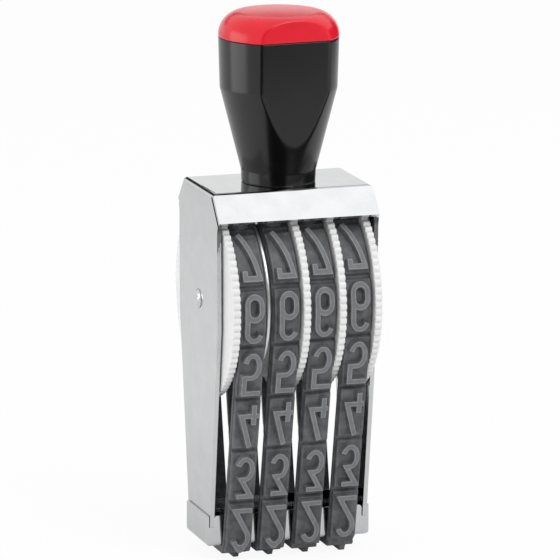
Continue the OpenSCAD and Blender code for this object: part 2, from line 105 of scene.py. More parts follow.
def add_node(tree: bpy.types.NodeTree, kind: str, values: dict[Any, Any] | None = None,
             links: dict[Any, bpy.types.NodeSocket] | None = None,
             **settings: Any) -> bpy.types.Node:
    """Adds a shader node with its settings, socket values and links.

    Args:
        tree: The node tree that gets the node.
        kind: The node's type, such as "ShaderNodeBump".
        values: Input socket name or number to its constant value.
        links: Input socket name or number to the output socket that feeds it.
        settings: The node's own properties.

    Returns:
        The new node.
    """
    made = tree.nodes.new(kind)
    for name, value in settings.items():
        setattr(made, name, value)
    for socket, value in (values or {}).items():
        made.inputs[socket].default_value = value
    for socket, source in (links or {}).items():
        tree.links.new(source, made.inputs[socket])
    return made


def empty_tree(owner: bpy.types.Material | bpy.types.World) -> bpy.types.NodeTree:
    """Gives a material or a world an empty node tree.

    Args:
        owner: The material or the world.

    Returns:
        Its node tree.
    """
    owner.use_nodes = True
    owner.node_tree.nodes.clear()
    return owner.node_tree


class Slot(Enum):
    """The record's material slots."""

    SHEET = "nickel_sheet"
    STEEL = "polished_steel"
    ZINC = "zinc_steel"
    BLACK = "black_plastic"
    RED = "red_plastic"
    WHITE = "white_plastic"
    RUBBER = "grey_rubber"


@dataclass(frozen=True)
class Finish:
    """A procedural finish: a shader with grain, mottling and relief from its nodes.

    The relief has two scales: a fine grain, such as spark erosion, and a broad
    unevenness, such as the waviness of rolled sheet.
    """

    name: str
    colour: str
    dark_colour: str
    metallic: float
    roughness: float
    roughness_range: float
    grain_mm: float
    grain_height_mm: float
    wave_mm: float
    wave_height_mm: float
    mottle_mm: float = 6.0

    def material(self) -> bpy.types.Material:
        """Makes the Blender material.

        Returns:
            The material, which is made once and then found by its name.
        """
        found = bpy.data.materials.get(self.name)
        if found:
            return found
        made = bpy.data.materials.new(self.name)
        tree = empty_tree(made)
        place = add_node(tree, "ShaderNodeTexCoord").outputs["Object"]
        mottle = self.noise(tree, place, self.mottle_mm, 3.0)
        grain = self.noise(tree, place, self.grain_mm, 2.0)
        wave = self.noise(tree, place, self.wave_mm, 1.0)
        spread = add_node(tree, "ShaderNodeMapRange", {"From Min": 0.35, "From Max": 0.65},
                          {"Value": mottle})
        tone = add_node(tree, "ShaderNodeMix", {"A": linear(self.dark_colour), "B": linear(self.colour)},
                        {"Factor": spread.outputs["Result"]}, data_type="RGBA")
        rough = add_node(tree, "ShaderNodeMapRange",
                         {"From Min": 0.3, "From Max": 0.7,
                          "To Min": self.roughness - self.roughness_range,
                          "To Max": self.roughness + self.roughness_range},
                         {"Value": grain})
        broad = add_node(tree, "ShaderNodeBump",
                         {"Strength": 1.0, "Distance": self.wave_height_mm * MM}, {"Height": wave})
        fine = add_node(tree, "ShaderNodeBump",
                        {"Strength": 1.0, "Distance": self.grain_height_mm * MM},
                        {"Height": grain, "Normal": broad.outputs["Normal"]})
        shader = add_node(tree, "ShaderNodeBsdfPrincipled",
                          {"Metallic": self.metallic},
                          {"Base Color": tone.outputs["Result"],
                           "Roughness": rough.outputs["Result"],
                           "Normal": fine.outputs["Normal"]})
        add_node(tree, "ShaderNodeOutputMaterial", None, {"Surface": shader.outputs["BSDF"]})
        return made

    def noise(self, tree: bpy.types.NodeTree, vector: bpy.types.NodeSocket, size_mm: float,
              detail: float) -> bpy.types.NodeSocket:
        """Adds a noise whose spots are size_mm wide.

        Args:
            tree: The node tree.
            vector: The coordinates in metres.
            size_mm: The width of a spot.
            detail: Octaves of finer noise.

        Returns:
            The noise's output.
        """
        made = add_node(tree, "ShaderNodeTexNoise",
                        {"Scale": 1 / (size_mm * MM), "Detail": detail, "Roughness": 0.55},
                        {"Vector": vector})
        return made.outputs["Fac"]


# Bright chrome over polished sheet steel, folded cold.  The eye gets a mirror that
# wavers a little over each plate, because rolled sheet is never quite flat.
CHROMED_SHEET = Finish("chromed_sheet_steel", "#CACBCC", "#C4C5C6", 1.0, 0.07, 0.02,
                       0.5, 0.0006, 26.0, 0.012)
# Steel punched from sheet and tumbled: its rim gathers the light in a long soft band,
# and it keeps a grey sheen where no lamp reaches it.
TUMBLED_STEEL = Finish("tumbled_steel", "#EAEBEC", "#E0E1E2", 0.75, 0.38, 0.06,
                       0.4, 0.001, 12.0, 0.01)
# The axle's heads are turned and buffed, so that each dome mirrors light and dark alike.
BUFFED_STEEL = Finish("buffed_steel", "#CDCED0", "#C4C5C7", 1.0, 0.1, 0.03,
                      0.4, 0.001, 6.0, 0.004)
# Steel screws, washers and nuts, barrel plated with bright zinc: slightly bluish.
ZINC_PLATE = Finish("zinc_plated_steel", "#B9BDC2", "#A5A9AF", 1.0, 0.32, 0.08,
                    0.35, 0.004, 4.0, 0.01)
# Black ABS, moulded against a fine spark-eroded tool: a soft, even sheen.
BLACK_ABS = Finish("black_abs_moulded", "#0B0B0C", "#080809", 0.0, 0.21, 0.04,
                   0.28, 0.005, 15.0, 0.02)
# Red ABS for the cap, moulded against the same fine tool.
RED_ABS = Finish("red_abs_moulded", "#E50827", "#DB0723", 0.0, 0.22, 0.05,
                 0.28, 0.006, 15.0, 0.02)
# White acetal for the wheels, moulded smooth: waxy, with a broad soft highlight.
WHITE_ACETAL = Finish("white_acetal_moulded", "#EBEBEB", "#E5E5E5", 0.0, 0.33, 0.05,
                      0.5, 0.003, 9.0, 0.015)
# Grey natural rubber, vulcanised in a steel mould and dusted with talc: matt,
# slightly cloudy, with a dry sheen at a flat angle.
GREY_RUBBER = Finish("grey_rubber_vulcanised", "#66676A", "#4F5052", 0.0, 0.6, 0.06,
                     0.35, 0.012, 5.0, 0.03, mottle_mm=3.0)
# The tops of the characters, a lighter grey and a little rougher than the moulded rubber.
LIGHTER_TOP_RUBBER = Finish("grey_rubber_lighter_top", "#75767A", "#6B6C6F", 0.0, 0.68, 0.06,
                       0.3, 0.01, 5.0, 0.02, mottle_mm=2.0)
# Edges of the figures, painted paler than the rubber: a painted highlight where the edges catch the
# light.
EDGE_HIGHLIGHT_RUBBER = Finish("grey_rubber_painted_edge_highlight", "#8B8C8F", "#7F8083", 0.0, 0.7, 0.06,
                     0.3, 0.01, 5.0, 0.02, mottle_mm=2.0)


@dataclass(frozen=True)
class FloorPaper:
    """The studio's pale paper: near white to the camera, and darker in the polished sheet."""

    name: str = "pale_floor"
    colour: str = "#F4F4F4"
    seen: float = 0.92
    mirrored: float = 0.2

    def material(self) -> bpy.types.Material:
        """Makes the Blender material.

        Returns:
            The new material.
        """
        made = bpy.data.materials.new(self.name)
        tree = empty_tree(made)
        paper = add_node(tree, "ShaderNodeBsdfDiffuse", {"Color": linear(self.colour)})
        glow = add_node(tree, "ShaderNodeEmission", {"Color": (1, 1, 1, 1), "Strength": 1.0})
        rays = add_node(tree, "ShaderNodeLightPath")
        seen, mirrored = (
            add_node(tree, "ShaderNodeMath", {1: share}, {0: rays.outputs[kind]},
                     operation="MULTIPLY").outputs[0]
            for kind, share in (("Is Camera Ray", self.seen), ("Is Glossy Ray", self.mirrored)))
        part = add_node(tree, "ShaderNodeMath", None, {0: seen, 1: mirrored}, operation="MAXIMUM")
        mix = add_node(tree, "ShaderNodeMixShader", None,
                       {0: part.outputs[0], 1: paper.outputs[0], 2: glow.outputs[0]})
        add_node(tree, "ShaderNodeOutputMaterial", None, {"Surface": mix.outputs[0]})
        return made


# ---------------------------------------------------------------- mesh making


def new_object(name: str, verts: Any, faces: Any,
               finish: Finish | FloorPaper) -> bpy.types.Object:
    """Makes a mesh object with one finish.

    Args:
        name: The object's name.
        verts: Points in metres.
        faces: Faces as indices.
        finish: The surface finish.

    Returns:
        The new object, linked to the scene.
    """
    mesh = bpy.data.meshes.new(name)
    mesh.from_pydata([tuple(v) for v in verts], [], [tuple(f) for f in faces])
    mesh.materials.append(finish.material())
    made = bpy.data.objects.new(name, mesh)
    bpy.context.scene.collection.objects.link(made)
    return made


def lattice(name: str, points: np.ndarray, finish: Finish, wrap_rows: bool = False,
            wrap_columns: bool = False, caps: bool = False) -> bpy.types.Object:
    """Makes a mesh of quads over a lattice of points.

    Args:
        name: The object's name.
        points: Array of rows x columns x 3, in metres.
        finish: The surface finish.
        wrap_rows: The last row joins the first.
        wrap_columns: The last column joins the first.
        caps: The first and the last row are closed with one face each.

    Returns:
        The new object.
    """
    rows, columns = points.shape[:2]
    r = np.arange(rows if wrap_rows else rows - 1)
    c = np.arange(columns if wrap_columns else columns - 1)
    r0, c0 = np.meshgrid(r, c, indexing="ij")
    r1, c1 = (r0 + 1) % rows, (c0 + 1) % columns
    quads = np.stack([r0 * columns + c0, r0 * columns + c1, r1 * columns + c1, r1 * columns + c0], -1)
    faces = quads.reshape(-1, 4).tolist()
    if caps:
        faces.append(list(range(columns))[::-1])
        faces.append([(rows - 1) * columns + i for i in range(columns)])
    return new_object(name, points.reshape(-1, 3), faces, finish)


def tidy(made: bpy.types.Object, sharp_deg: float = 40.0) -> bpy.types.Object:
    """Merges doubled points, turns the faces outwards and smooths all but sharp edges.

    Args:
        made: The object to tidy.
        sharp_deg: Edges steeper than this stay sharp.

    Returns:
        The same object.
    """
    work = bmesh.new()
    work.from_mesh(made.data)
    bmesh.ops.remove_doubles(work, verts=work.verts, dist=1e-7)
    bmesh.ops.dissolve_degenerate(work, edges=work.edges, dist=1e-8)
    bmesh.ops.recalc_face_normals(work, faces=work.faces)
    work.to_mesh(made.data)
    work.free()
    made.data.shade_smooth()
    made.data.set_sharp_from_angle(angle=math.radians(sharp_deg))
    return made


def soften(made: bpy.types.Object, width_mm: float, segments: int = 2,
           angle_deg: float = 28.0) -> bpy.types.Object:
    """Rounds an object's sharp edges and keeps its broad faces flat to the eye.

    Args:
        made: The object.
        width_mm: The width of the rounding.
        segments: Facets across the rounding.
        angle_deg: Edges flatter than this stay as they are.

    Returns:
        The same object, with its final mesh.
    """
    bevel = made.modifiers.new("edge", "BEVEL")
    bevel.width = width_mm * MM
    bevel.segments = segments
    bevel.limit_method = "ANGLE"
    bevel.angle_limit = math.radians(angle_deg)
    bevel.use_clamp_overlap = True
    weights = made.modifiers.new("flat", "WEIGHTED_NORMAL")
    weights.keep_sharp = True
    made.data.shade_smooth()
    graph = bpy.context.evaluated_depsgraph_get()
    final = bpy.data.meshes.new_from_object(made.evaluated_get(graph))
    made.modifiers.clear()
    made.data = final
    return made


def copy_of_node(node: str, name: str, finish: Finish) -> bpy.types.Object:
    """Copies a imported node's shape into a clean mesh with whole flat faces.

    Args:
        node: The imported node.
        name: The new object's name.
        finish: The surface finish.

    Returns:
        The new object, which stands for the node.
    """
    source = bpy.data.objects[node].data
    verts = [v.co.copy() for v in source.vertices]
    faces = [tuple(p.vertices) for p in source.polygons]
    made = new_object(name, verts, faces, finish)
    work = bmesh.new()
    work.from_mesh(made.data)
    bmesh.ops.remove_doubles(work, verts=work.verts, dist=2e-6)
    bmesh.ops.dissolve_limit(work, angle_limit=math.radians(1.0), use_dissolve_boundaries=False,
                             verts=work.verts, edges=work.edges)
    work.to_mesh(made.data)
    work.free()
    return made


def arc_points(centre: Point, rx: float, ry: float, start: float, end: float,
               step: float = 15.0) -> list[Point]:
    """Points of an elliptic arc.

    Args:
        centre: The arc's centre.
        rx: Half its width.
        ry: Half its height.
        start: First angle in degrees.
        end: Last angle in degrees.
        step: Largest angle between two points.

    Returns:
        The points.
    """
    count = max(2, math.ceil(abs(end - start) / step))
    angles = [math.radians(start + (end - start) * i / count) for i in range(count + 1)]
    return [(centre[0] + rx * math.cos(a), centre[1] + ry * math.sin(a)) for a in angles]


def rounded(corners: Sequence[tuple[float, float, float]], closed: bool = True,
            facets: int = 4) -> list[Point]:
    """Rounds the corners of a path.

    Args:
        corners: Each corner as (x, y, radius).
        closed: The path is a ring.
        facets: Facets of each rounding.

    Returns:
        The path's points.
    """
    out: list[Point] = []
    count = len(corners)
    for i, (x, y, radius) in enumerate(corners):
        ends = not closed and i in (0, count - 1)
        if radius <= 0 or ends:
            out.append((x, y))
            continue
        here = Vector((x, y))
        before = Vector(corners[i - 1][:2]) - here
        after = Vector(corners[(i + 1) % count][:2]) - here
        half = before.angle(after) / 2
        reach = min(radius / math.tan(half), 0.49 * before.length, 0.49 * after.length)
        a, b = here + before.normalized() * reach, here + after.normalized() * reach
        for k in range(facets + 1):
            t = k / facets
            bend = a * (1 - t) ** 2 + here * 2 * t * (1 - t) + b * t * t
            out.append((bend.x, bend.y))
    return out


def revolve(name: str, profile: Sequence[Point], finish: Finish, centre_z: float,
            count: int = 96, scale: Callable[[np.ndarray, np.ndarray], np.ndarray] | None = None,
            sharp_deg: float = 40.0) -> bpy.types.Object:
    """Turns a closed profile of (radius, place along X) round the axle's line.

    Args:
        name: The object's name.
        profile: The profile's points in millimetres.
        finish: The surface finish.
        centre_z: The axle's height in millimetres.
        count: Facets round the axis.
        scale: Changes the radii by (radius, angle), such as for teeth.
        sharp_deg: Edges steeper than this stay sharp.

    Returns:
        The new object.
    """
    rim = np.array(profile)
    angle = np.linspace(0, 2 * np.pi, count, endpoint=False)
    radius = np.repeat(rim[:, 0][:, None], count, 1)
    along = np.repeat(rim[:, 1][:, None], count, 1)
    turned = np.repeat(angle[None, :], len(rim), 0)
    if scale:
        radius = scale(radius, turned)
    points = np.stack([along, radius * np.cos(turned), centre_z + radius * np.sin(turned)], -1) * MM
    on_axis = rim[0, 0] < 1e-9 and rim[-1, 0] < 1e-9
    made = lattice(name, points, finish, wrap_rows=not on_axis, wrap_columns=True)
    return tidy(made, sharp_deg)


def stand_for(made: bpy.types.Object, node: str, body: str) -> None:
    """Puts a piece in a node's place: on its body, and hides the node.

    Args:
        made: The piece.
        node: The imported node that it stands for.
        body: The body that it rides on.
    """
    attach(made, body)
    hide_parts(node)
    LOG.info("%s: %d faces", made.name, len(made.data.polygons))


def node_mm(node: str) -> tuple[Vector, Vector]:
    """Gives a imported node's lowest and highest corner in millimetres."""
    low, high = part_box(node)
    return low / MM, high / MM


# ---------------------------------------------------------------- sheet metal


@dataclass
class SheetMetal:
    """The bent frame and its foot tray, both of polished sheet."""

    cut_edge_mm: float = 0.16
    tray_edge_mm: float = 0.12

    def build(self) -> None:
        """Builds the frame and the tray."""
        frame = copy_of_node("frame", "sheet_frame", CHROMED_SHEET)
        soften(frame, self.cut_edge_mm)
        stand_for(frame, "frame", STAMP_BODY)
        tray = copy_of_node("foot_tray", "sheet_tray", CHROMED_SHEET)
        soften(tray, self.tray_edge_mm)
        stand_for(tray, "foot_tray", STAMP_BODY)


# ---------------------------------------------------------------- handle


@dataclass
class Handle:
    """Moulded handle: a round neck that grows into a round grip with two flats, and a cap."""

    neck_r: float = 12.1
    neck_h: float = 4.2
    waist_r: float = 12.3
    grip_h: float = 31.3
    grip_r: float = 19.2
    shoulder_r: float = 19.7
    flat_r: float = 15.1
    flat_slope: float = 0.034
    turn_deg: float = 3.8
    cap_edge_h: float = 0.4
    cap_round: float = 7.5
    crown: float = 0.35
    blend: float = 0.4
    foot_round: float = 0.35
    seam_round: float = 0.25
    seam: float = 0.12
    screw_edge: float = 0.15
    columns: int = 288
    body_steps: int = 130
    dome_steps: int = 40
    crown_steps: int = 12
    edge_steps: int = 4
    sharp_deg: float = 50.0
    round_only: float = 60.0
    least_cos: float = 0.05

    def flat(self, height: float) -> float:
        """Distance of the flats from the handle's middle.

        Args:
            height: The height above the top plate.

        Returns:
            The distance, or one past the round part where the neck has no flats.
        """
        if height < self.neck_h:
            return self.round_only
        return self.flat_r + (height - self.grip_h) * self.flat_slope

    def corner(self, height: float, whole: float) -> float:
        """Radius of the round part at a height above the top plate.

        Args:
            height: The height above the top plate.
            whole: The height of the handle body.

        Returns:
            The radius.
        """
        return float(np.interp(height, [0, self.neck_h, self.grip_h, whole],
                               [self.neck_r, self.waist_r, self.grip_r, self.shoulder_r]))

    def across(self, corner: np.ndarray, flat: np.ndarray, angle: np.ndarray) -> np.ndarray:
        """Radius of a section that is round, with a flat in front and one behind.

        Args:
            corner: The radius of the round parts, one for each row.
            flat: The distance of the flats, one for each row.
            angle: The angles of the columns.

        Returns:
            The radii, rows x columns, with a soft line where flat meets round.
        """
        toward = angle % np.pi - np.pi / 2
        side = flat[:, None] / np.maximum(np.cos(toward), self.least_cos)[None, :]
        full = np.repeat(corner[:, None], len(angle), 1)
        gap = np.clip(0.5 + 0.5 * (full - side) / self.blend, 0, 1)
        return full * (1 - gap) + side * gap - self.blend * gap * (1 - gap)

    def lofted(self, name: str, rows: Sequence[tuple[float, float, float]],
               finish: Finish) -> bpy.types.Object:
        """Makes a closed body through rows of (height, radius, distance of the flats).

        Args:
            name: The object's name.
            rows: The rows, from the lower centre to the upper centre.
            finish: The surface finish.

        Returns:
            The new object.
        """
        table = np.array(rows)
        angle = np.linspace(0, 2 * np.pi, self.columns, endpoint=False)
        radius = np.maximum(self.across(table[:, 1], table[:, 2], angle), 0)
        height = np.repeat(table[:, 0][:, None], self.columns, 1)
        turned = np.repeat(angle[None, :], len(table), 0) + math.radians(self.turn_deg)
        points = np.stack([radius * np.cos(turned), radius * np.sin(turned), height], -1)
        made = lattice(name, points * MM, finish, wrap_columns=True)
        return tidy(made, self.sharp_deg)

    def body_rows(self, low: float, high: float) -> list[tuple[float, float, float]]:
        """Rows of the handle body.

        Args:
            low: The height of its foot.
            high: The height of its upper face.

        Returns:
            The rows, as lofted takes them.
        """
        whole = high - low
        quarter = np.linspace(0, math.pi / 2, self.edge_steps)
        rows = [(low, 0.0, self.round_only)]
        for a in quarter:
            rows.append((low + self.foot_round * (1 - math.cos(a)),
                         self.neck_r - self.foot_round * (1 - math.sin(a)), self.round_only))
        top = high - self.seam_round
        for z in np.linspace(low + self.foot_round, top, self.body_steps)[1:]:
            rows.append((float(z), self.corner(z - low, whole), self.flat(z - low)))
        for a in quarter[1:]:
            inset = self.seam_round * (1 - math.cos(a))
            rows.append((top + self.seam_round * math.sin(a), self.shoulder_r - inset,
                         self.flat(whole) - inset))
        rows.append((high, 0.0, self.round_only))
        return rows

    def cap_rows(self, plate: float, low: float, high: float) -> list[tuple[float, float, float]]:
        """Rows of the cap.

        Args:
            plate: The height of the top plate, from which the flats are counted.
            low: The height of the cap's foot.
            high: The height of its crown.

        Returns:
            The rows, as lofted takes them.
        """
        rows = [(low, 0.0, 0.0)]
        for a in np.linspace(0, math.pi / 2, self.edge_steps):
            inset = self.seam_round * (1 - math.sin(a))
            z = low + self.seam_round * (1 - math.cos(a))
            rows.append((z, self.shoulder_r - inset, self.flat(z - plate) - inset))
        edge = low + self.cap_edge_h
        rise = high - self.crown - edge
        for a in np.linspace(0, math.pi / 2, self.dome_steps):
            z = edge + rise * math.sin(a)
            rows.append((z, self.shoulder_r - self.cap_round * (1 - math.cos(a)), self.flat(z - plate)))
        inner = self.shoulder_r - self.cap_round
        for t in np.linspace(1, 0, self.crown_steps)[1:]:
            rows.append((high - self.crown * t * t, inner * t, self.round_only))
        return rows

    def build(self) -> None:
        """Builds the handle body, the cap and what fastens them."""
        low, high = node_mm("handle_body")
        body = self.lofted("grip", self.body_rows(low.z, high.z), BLACK_ABS)
        stand_for(body, "handle_body", STAMP_BODY)
        cap_high = node_mm("handle_cap")[1]
        cap = self.lofted("cap", self.cap_rows(low.z, high.z + self.seam, cap_high.z), RED_ABS)
        stand_for(cap, "handle_cap", STAMP_BODY)
        for node in ("handle_screw", "handle_washer", "handle_nut"):
            made = copy_of_node(node, node + "_plated", ZINC_PLATE)
            soften(made, self.screw_edge)
            stand_for(made, node, STAMP_BODY)


# ---------------------------------------------------------------- axle


@dataclass
class AxleParts:
    """The axle with its domed heads, its washers and the divider disc."""

    shaft_r: float = 2.5
    bore_r: float = 2.55
    hub_r: float = 6.0
    disc_t: float = 1.1
    face_gap: float = 0.05
    sheet_t: float = 1.4
    edge: float = 0.15
    head_edge: float = 0.35
    head_curve: tuple[Point, ...] = ((0.0, 0.0), (0.45, 0.12), (0.8, 0.42))
    skirt_in: float = 0.1
    skirt_drop: float = 0.8
    foot_in: float = 0.12
    head_gap: float = 0.02
    head_sharp_deg: float = 50.0
    worn_edge: float = 0.5
    disc_facets: int = 160

    def ring(self, node: str, name: str) -> None:
        """Builds a washer with rounded edges.

        Args:
            node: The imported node.
            name: The piece's name.
        """
        low, high = node_mm(node)
        radius = (high.z - low.z) / 2
        e = self.edge
        profile = rounded([(self.bore_r, low.x, e), (radius, low.x, e), (radius, high.x, e),
                           (self.bore_r, high.x, e)])
        made = revolve(name, profile, ZINC_PLATE, (low.z + high.z) / 2)
        stand_for(made, node, STAMP_BODY)

    def build(self) -> None:
        """Builds the axle and its rings."""
        low, high = node_mm("axle")
        head_r = (high.z - low.z) / 2
        wall = node_mm("washer_right")[1].x + self.face_gap + self.sheet_t
        dome = high.x - wall
        half = [(head_r * across, high.x - dome * drop) for across, drop in self.head_curve]
        half += [(head_r - self.skirt_in, high.x - dome * self.skirt_drop),
                 (head_r, wall + self.foot_in), (head_r - self.foot_in, wall + self.head_gap),
                 (self.shaft_r, wall + self.head_gap)]
        corners = [(r, x, self.head_edge if 0 < i < len(half) - 2 else 0.0)
                   for i, (r, x) in enumerate(half)]
        smooth = rounded(corners, closed=False)
        profile = smooth + [(r, -x) for r, x in reversed(smooth)]
        made = revolve("axle_pin", profile, BUFFED_STEEL, (low.z + high.z) / 2,
                       sharp_deg=self.head_sharp_deg)
        stand_for(made, "axle", STAMP_BODY)
        for side in ("left", "right"):
            self.ring(f"washer_{side}", f"{side}_washer")
        self.divider()

    def divider(self) -> None:
        """Builds the divider disc with its hub; the left edge of its rim is worn rounder."""
        low, high = node_mm("divider_disc")
        middle = (low.x + high.x) / 2
        radius = (high.z - low.z) / 2
        half_t, half_hub = self.disc_t / 2, (high.x - low.x) / 2
        e = self.edge
        corners = [(self.bore_r, middle - half_hub, e), (self.hub_r, middle - half_hub, e),
                   (self.hub_r, middle - half_t, e), (radius, middle - half_t, self.worn_edge),
                   (radius, middle + half_t, e), (self.hub_r, middle + half_t, e),
                   (self.hub_r, middle + half_hub, e), (self.bore_r, middle + half_hub, e)]
        made = revolve("divider", rounded(corners), TUMBLED_STEEL, (low.z + high.z) / 2,
                       count=self.disc_facets)
        stand_for(made, "divider_disc", STAMP_BODY)


# ---------------------------------------------------------------- index wheels


@dataclass
class IndexWheel:
    """A moulded wheel: a thumb rim with fine rounded teeth and a hollow ribbed drum."""

    node: str
    body: str
    rim_left: bool
    rim_w: float = 2.4
    teeth: int = 84
    tooth_h: float = 0.8
    tooth_power: float = 1.25
    drum_r: float = 26.9
    drum_wall: float = 2.4
    hub_r: float = 7.5
    bore_r: float = 2.55
    hub_step: float = 0.25
    facets_per_tooth: int = 10
    crest: float = 0.35
    edge: float = 0.2
    drum_edge: float = 0.1
    fillet: float = 0.5
    root: float = 1.6
    root_fade: float = 1.2
    ribs: int = 6
    rib_t: float = 1.6
    rib_sunk: float = 0.3
    rib_short: float = 0.8
    rib_overlap: float = 1.0
    rib_edge: float = 0.2
    sharp_deg: float = 48.0

    def cut(self, radius: np.ndarray, angle: np.ndarray, rim_r: float) -> np.ndarray:
        """Lowers the radii between the teeth.

        Args:
            radius: The radii of the profile's points.
            angle: Their angles round the axle.
            rim_r: The rim's outer radius.

        Returns:
            The new radii.
        """
        reach = np.clip((radius - rim_r + self.root) / self.root_fade, 0, 1)
        crest = np.abs(np.sin(angle * self.teeth / 2))
        return radius - self.tooth_h * (1 - crest) ** self.tooth_power * reach

    def build(self) -> None:
        """Builds the wheel and puts it on its body."""
        low, high = node_mm(self.node)
        centre_z = (low.z + high.z) / 2
        rim_r = (high.z - low.z) / 2
        width = high.x - low.x
        origin, way = (low.x, 1.0) if self.rim_left else (high.x, -1.0)
        e, inner = self.edge, self.drum_r - self.drum_wall
        open_end = width - self.hub_step
        corners = [
            (self.bore_r, 0.0, e), (rim_r - self.root, 0.0, 0.0), (rim_r, 0.0, self.crest),
            (rim_r, self.rim_w, self.crest), (rim_r - self.root, self.rim_w, 0.0),
            (self.drum_r, self.rim_w, self.drum_edge), (self.drum_r, open_end, e), (inner, open_end, e),
            (inner, self.rim_w, self.fillet), (self.hub_r, self.rim_w, self.fillet),
            (self.hub_r, width, e), (self.bore_r, width, e)]
        profile = [(r, origin + way * h) for r, h in rounded(corners, facets=3)]
        made = revolve(self.node + "_moulding", profile, WHITE_ACETAL, centre_z,
                       count=self.teeth * self.facets_per_tooth,
                       scale=lambda radius, angle: self.cut(radius, angle, rim_r),
                       sharp_deg=self.sharp_deg)
        self.add_ribs(made, origin, way, centre_z, inner, open_end)
        stand_for(made, self.node, self.body)

    def add_ribs(self, made: bpy.types.Object, origin: float, way: float, centre_z: float,
                 inner: float, open_end: float) -> None:
        """Adds the ribs inside the drum.

        Args:
            made: The wheel's object.
            origin: Where the rim's outer face lies along the axle.
            way: +1 if the drum lies towards +X, or -1.
            centre_z: The axle's height.
            inner: The drum's inner radius.
            open_end: Distance of the drum's open end from the rim's outer face.
        """
        work = bmesh.new()
        work.from_mesh(made.data)
        x0, x1 = sorted((origin + way * (self.rim_w - self.rib_sunk),
                         origin + way * (open_end - self.rib_short)))
        for i in range(self.ribs):
            size = Vector((x1 - x0, inner - self.hub_r + self.rib_overlap, self.rib_t))
            place = Matrix.Translation(Vector(((x0 + x1) / 2, 0, centre_z)) * MM)
            place @= Matrix.Rotation(2 * math.pi * i / self.ribs, 4, "X")
            place @= Matrix.Translation(Vector((0, (inner + self.hub_r) / 2, 0)) * MM)
            place @= Matrix.Diagonal((size * MM).to_4d())
            rib = bmesh.ops.create_cube(work, size=1.0, matrix=place)
            edges = {edge for v in rib["verts"] for edge in v.link_edges}
            bmesh.ops.bevel(work, geom=list(edges), offset=self.rib_edge * MM, segments=2,
                            affect="EDGES")
        work.to_mesh(made.data)
        work.free()


# ---------------------------------------------------------------- characters


